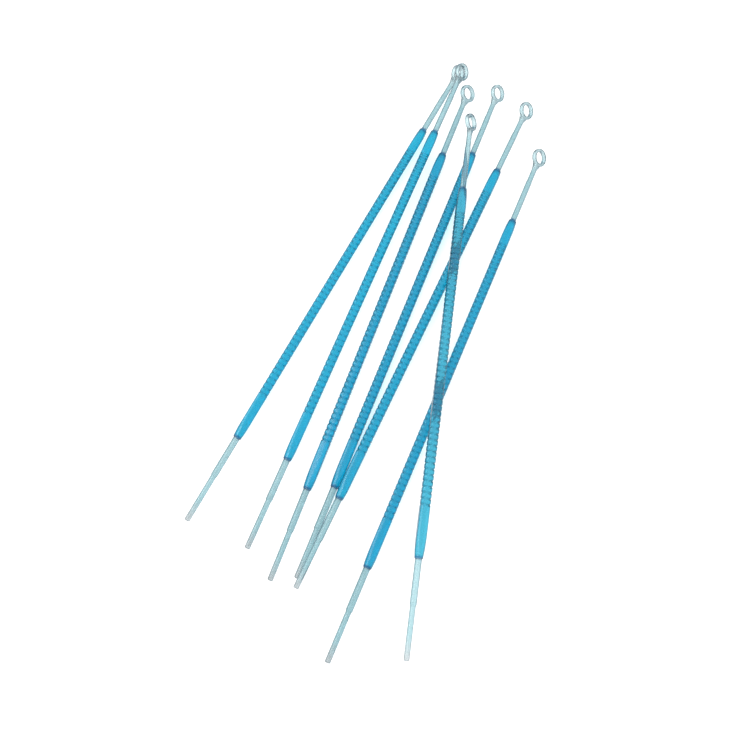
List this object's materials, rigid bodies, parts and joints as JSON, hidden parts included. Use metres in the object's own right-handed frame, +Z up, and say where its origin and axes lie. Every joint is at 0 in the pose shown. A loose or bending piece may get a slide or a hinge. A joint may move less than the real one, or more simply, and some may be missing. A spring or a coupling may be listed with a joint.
{
  "type": "inoculating loop set",
  "caption": "Loose set of single-piece plastic inoculating loops, each a thin rod with a ring at one end, a ribbed square grip and a plain needle at the other, lying loosely crossed.",
  "frame": {"origin": "centre of the set's footprint, on the surface that the loops lie on", "axes": "+Z up, +Y roughly along the loops towards their rings"},
  "size_m": [0.1424, 0.2186, 0.0107],
  "materials": {
    "blue_polystyrene": "clear blue tinted, glossy"
  },
  "bodies": {
    "loop_1": {"inoculating_loop_1": "blue_polystyrene"},
    "loop_2": {"inoculating_loop_2": "blue_polystyrene"},
    "loop_3": {"inoculating_loop_3": "blue_polystyrene"},
    "loop_4": {"inoculating_loop_4": "blue_polystyrene"},
    "loop_5": {"inoculating_loop_5": "blue_polystyrene"},
    "loop_6": {"inoculating_loop_6": "blue_polystyrene"},
    "loop_7": {"inoculating_loop_7": "blue_polystyrene"}
  },
  "joints": [
    {"name": "lift_loop_1", "type": "slide", "parent": "loop_7", "child": "loop_1", "axis": [0, 0, 1], "range_m": [0, 0.05]},
    {"name": "lift_loop_2", "type": "slide", "parent": "loop_1", "child": "loop_2", "axis": [0, 0, 1], "range_m": [0, 0.05]},
    {"name": "lift_loop_3", "type": "slide", "parent": "loop_7", "child": "loop_3", "axis": [0, 0, 1], "range_m": [0, 0.05]},
    {"name": "lift_loop_4", "type": "slide", "parent": "loop_7", "child": "loop_4", "axis": [0, 0, 1], "range_m": [0, 0.05]},
    {"name": "lift_loop_5", "type": "slide", "parent": "loop_4", "child": "loop_5", "axis": [0, 0, 1], "range_m": [0, 0.05]},
    {"name": "lift_loop_6", "type": "slide", "parent": "loop_5", "child": "loop_6", "axis": [0, 0, 1], "range_m": [0, 0.05]}
  ]
}
